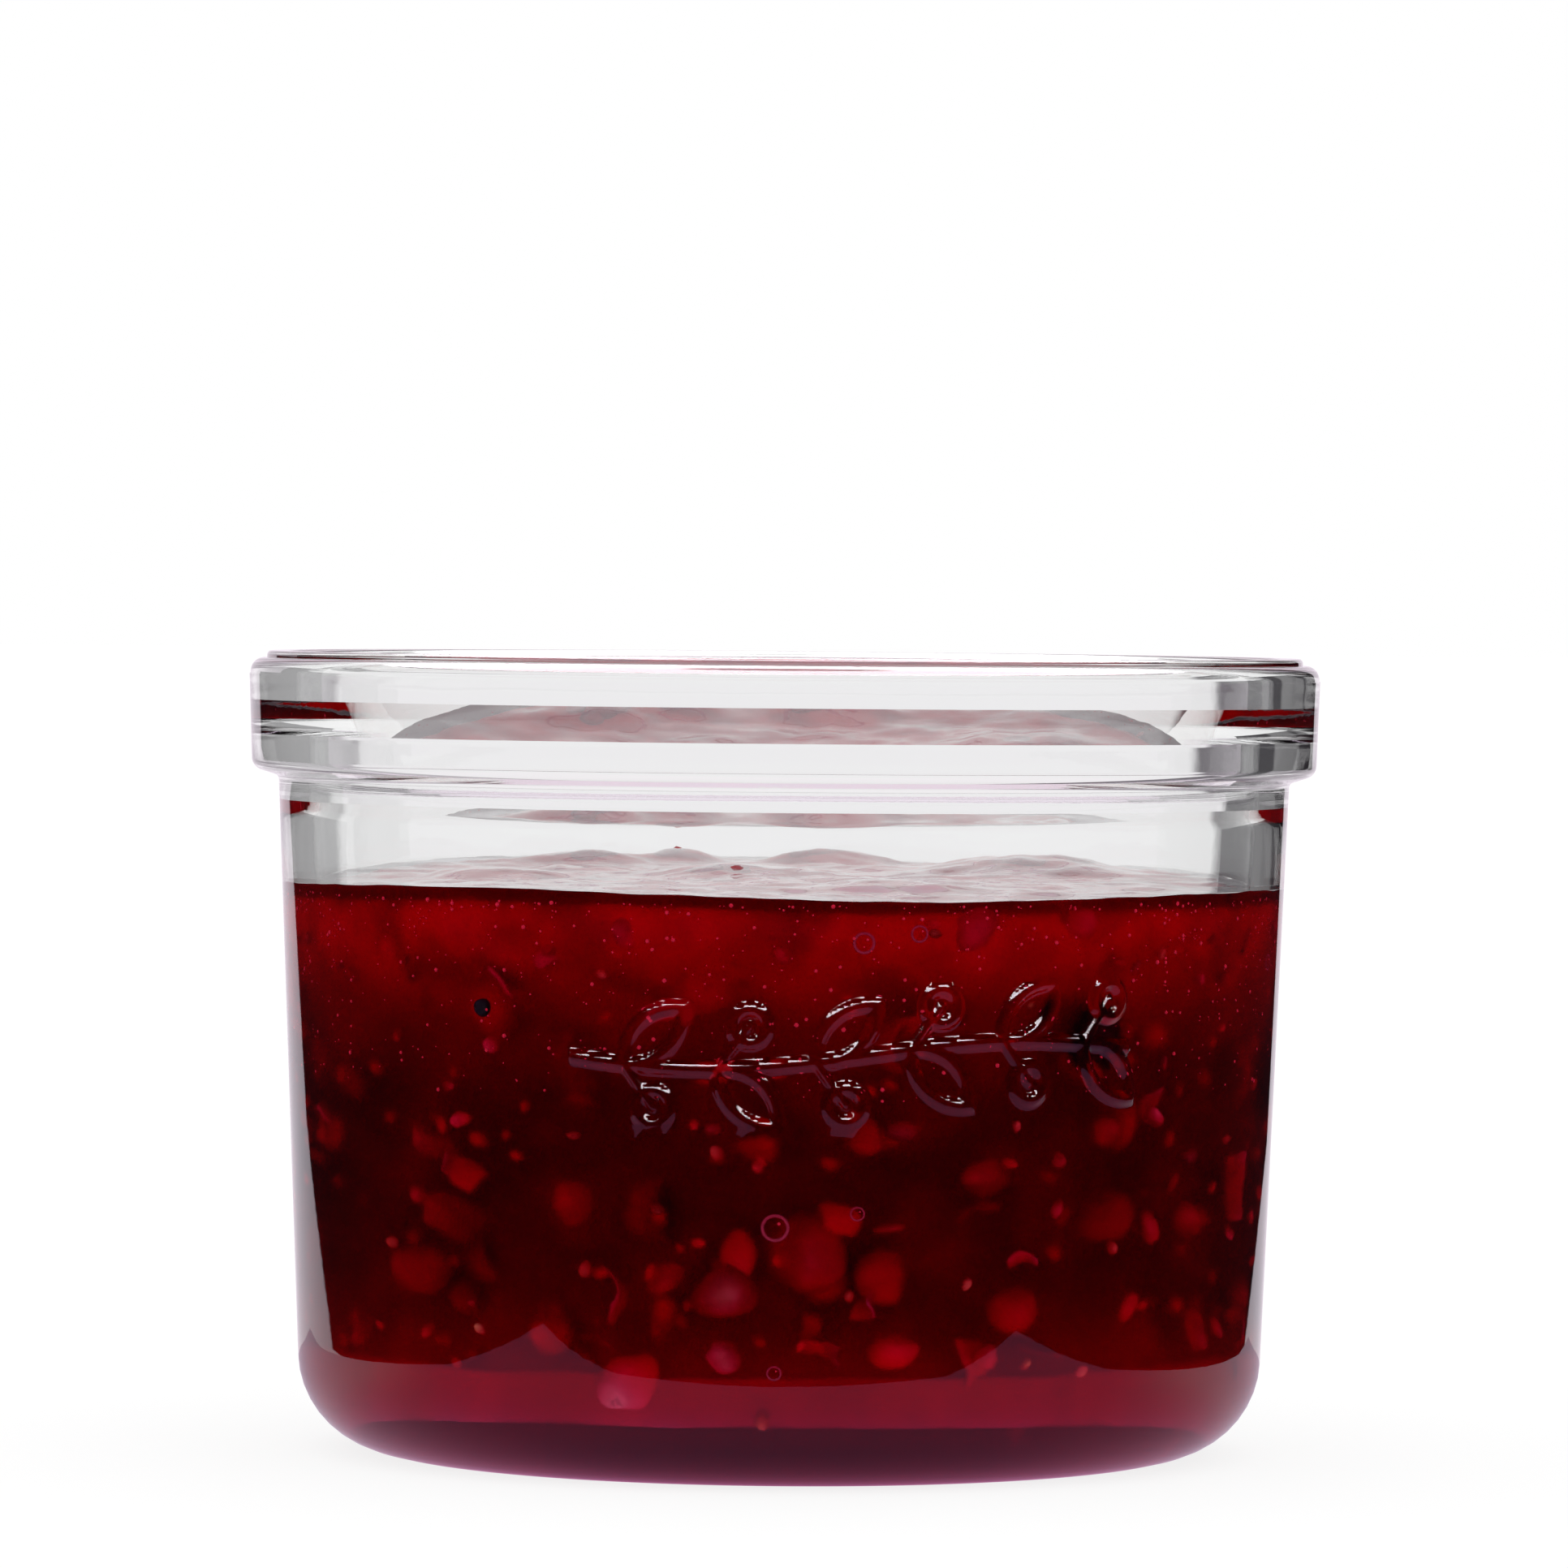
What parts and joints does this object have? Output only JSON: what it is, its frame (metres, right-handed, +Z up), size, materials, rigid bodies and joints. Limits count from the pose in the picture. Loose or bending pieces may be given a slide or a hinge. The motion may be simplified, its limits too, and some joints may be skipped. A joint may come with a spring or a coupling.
{
  "type": "open clip-top jar of red fruit jam",
  "caption": "Low, wide glass preserving jar with a thick stepped collar for a clip-on lid, open and filled with dark red fruit jam.",
  "frame": {"origin": "centre of the base, on the plane that the jar rests on", "axes": "+Z up along the jar's axis; -Y faces the viewer, on the side that carries the raised ornament; +X is the viewer's right"},
  "size_m": [0.086, 0.086, 0.064],
  "materials": {
    "clear_glass": "clear pressed glass, polished, slightly wavy",
    "red_jam": "wet translucent dark red jelly with fruit pieces"
  },
  "bodies": {
    "root": {"glass_jar": "clear_glass", "fruit_jam": "red_jam"}
  },
  "joints": []
}
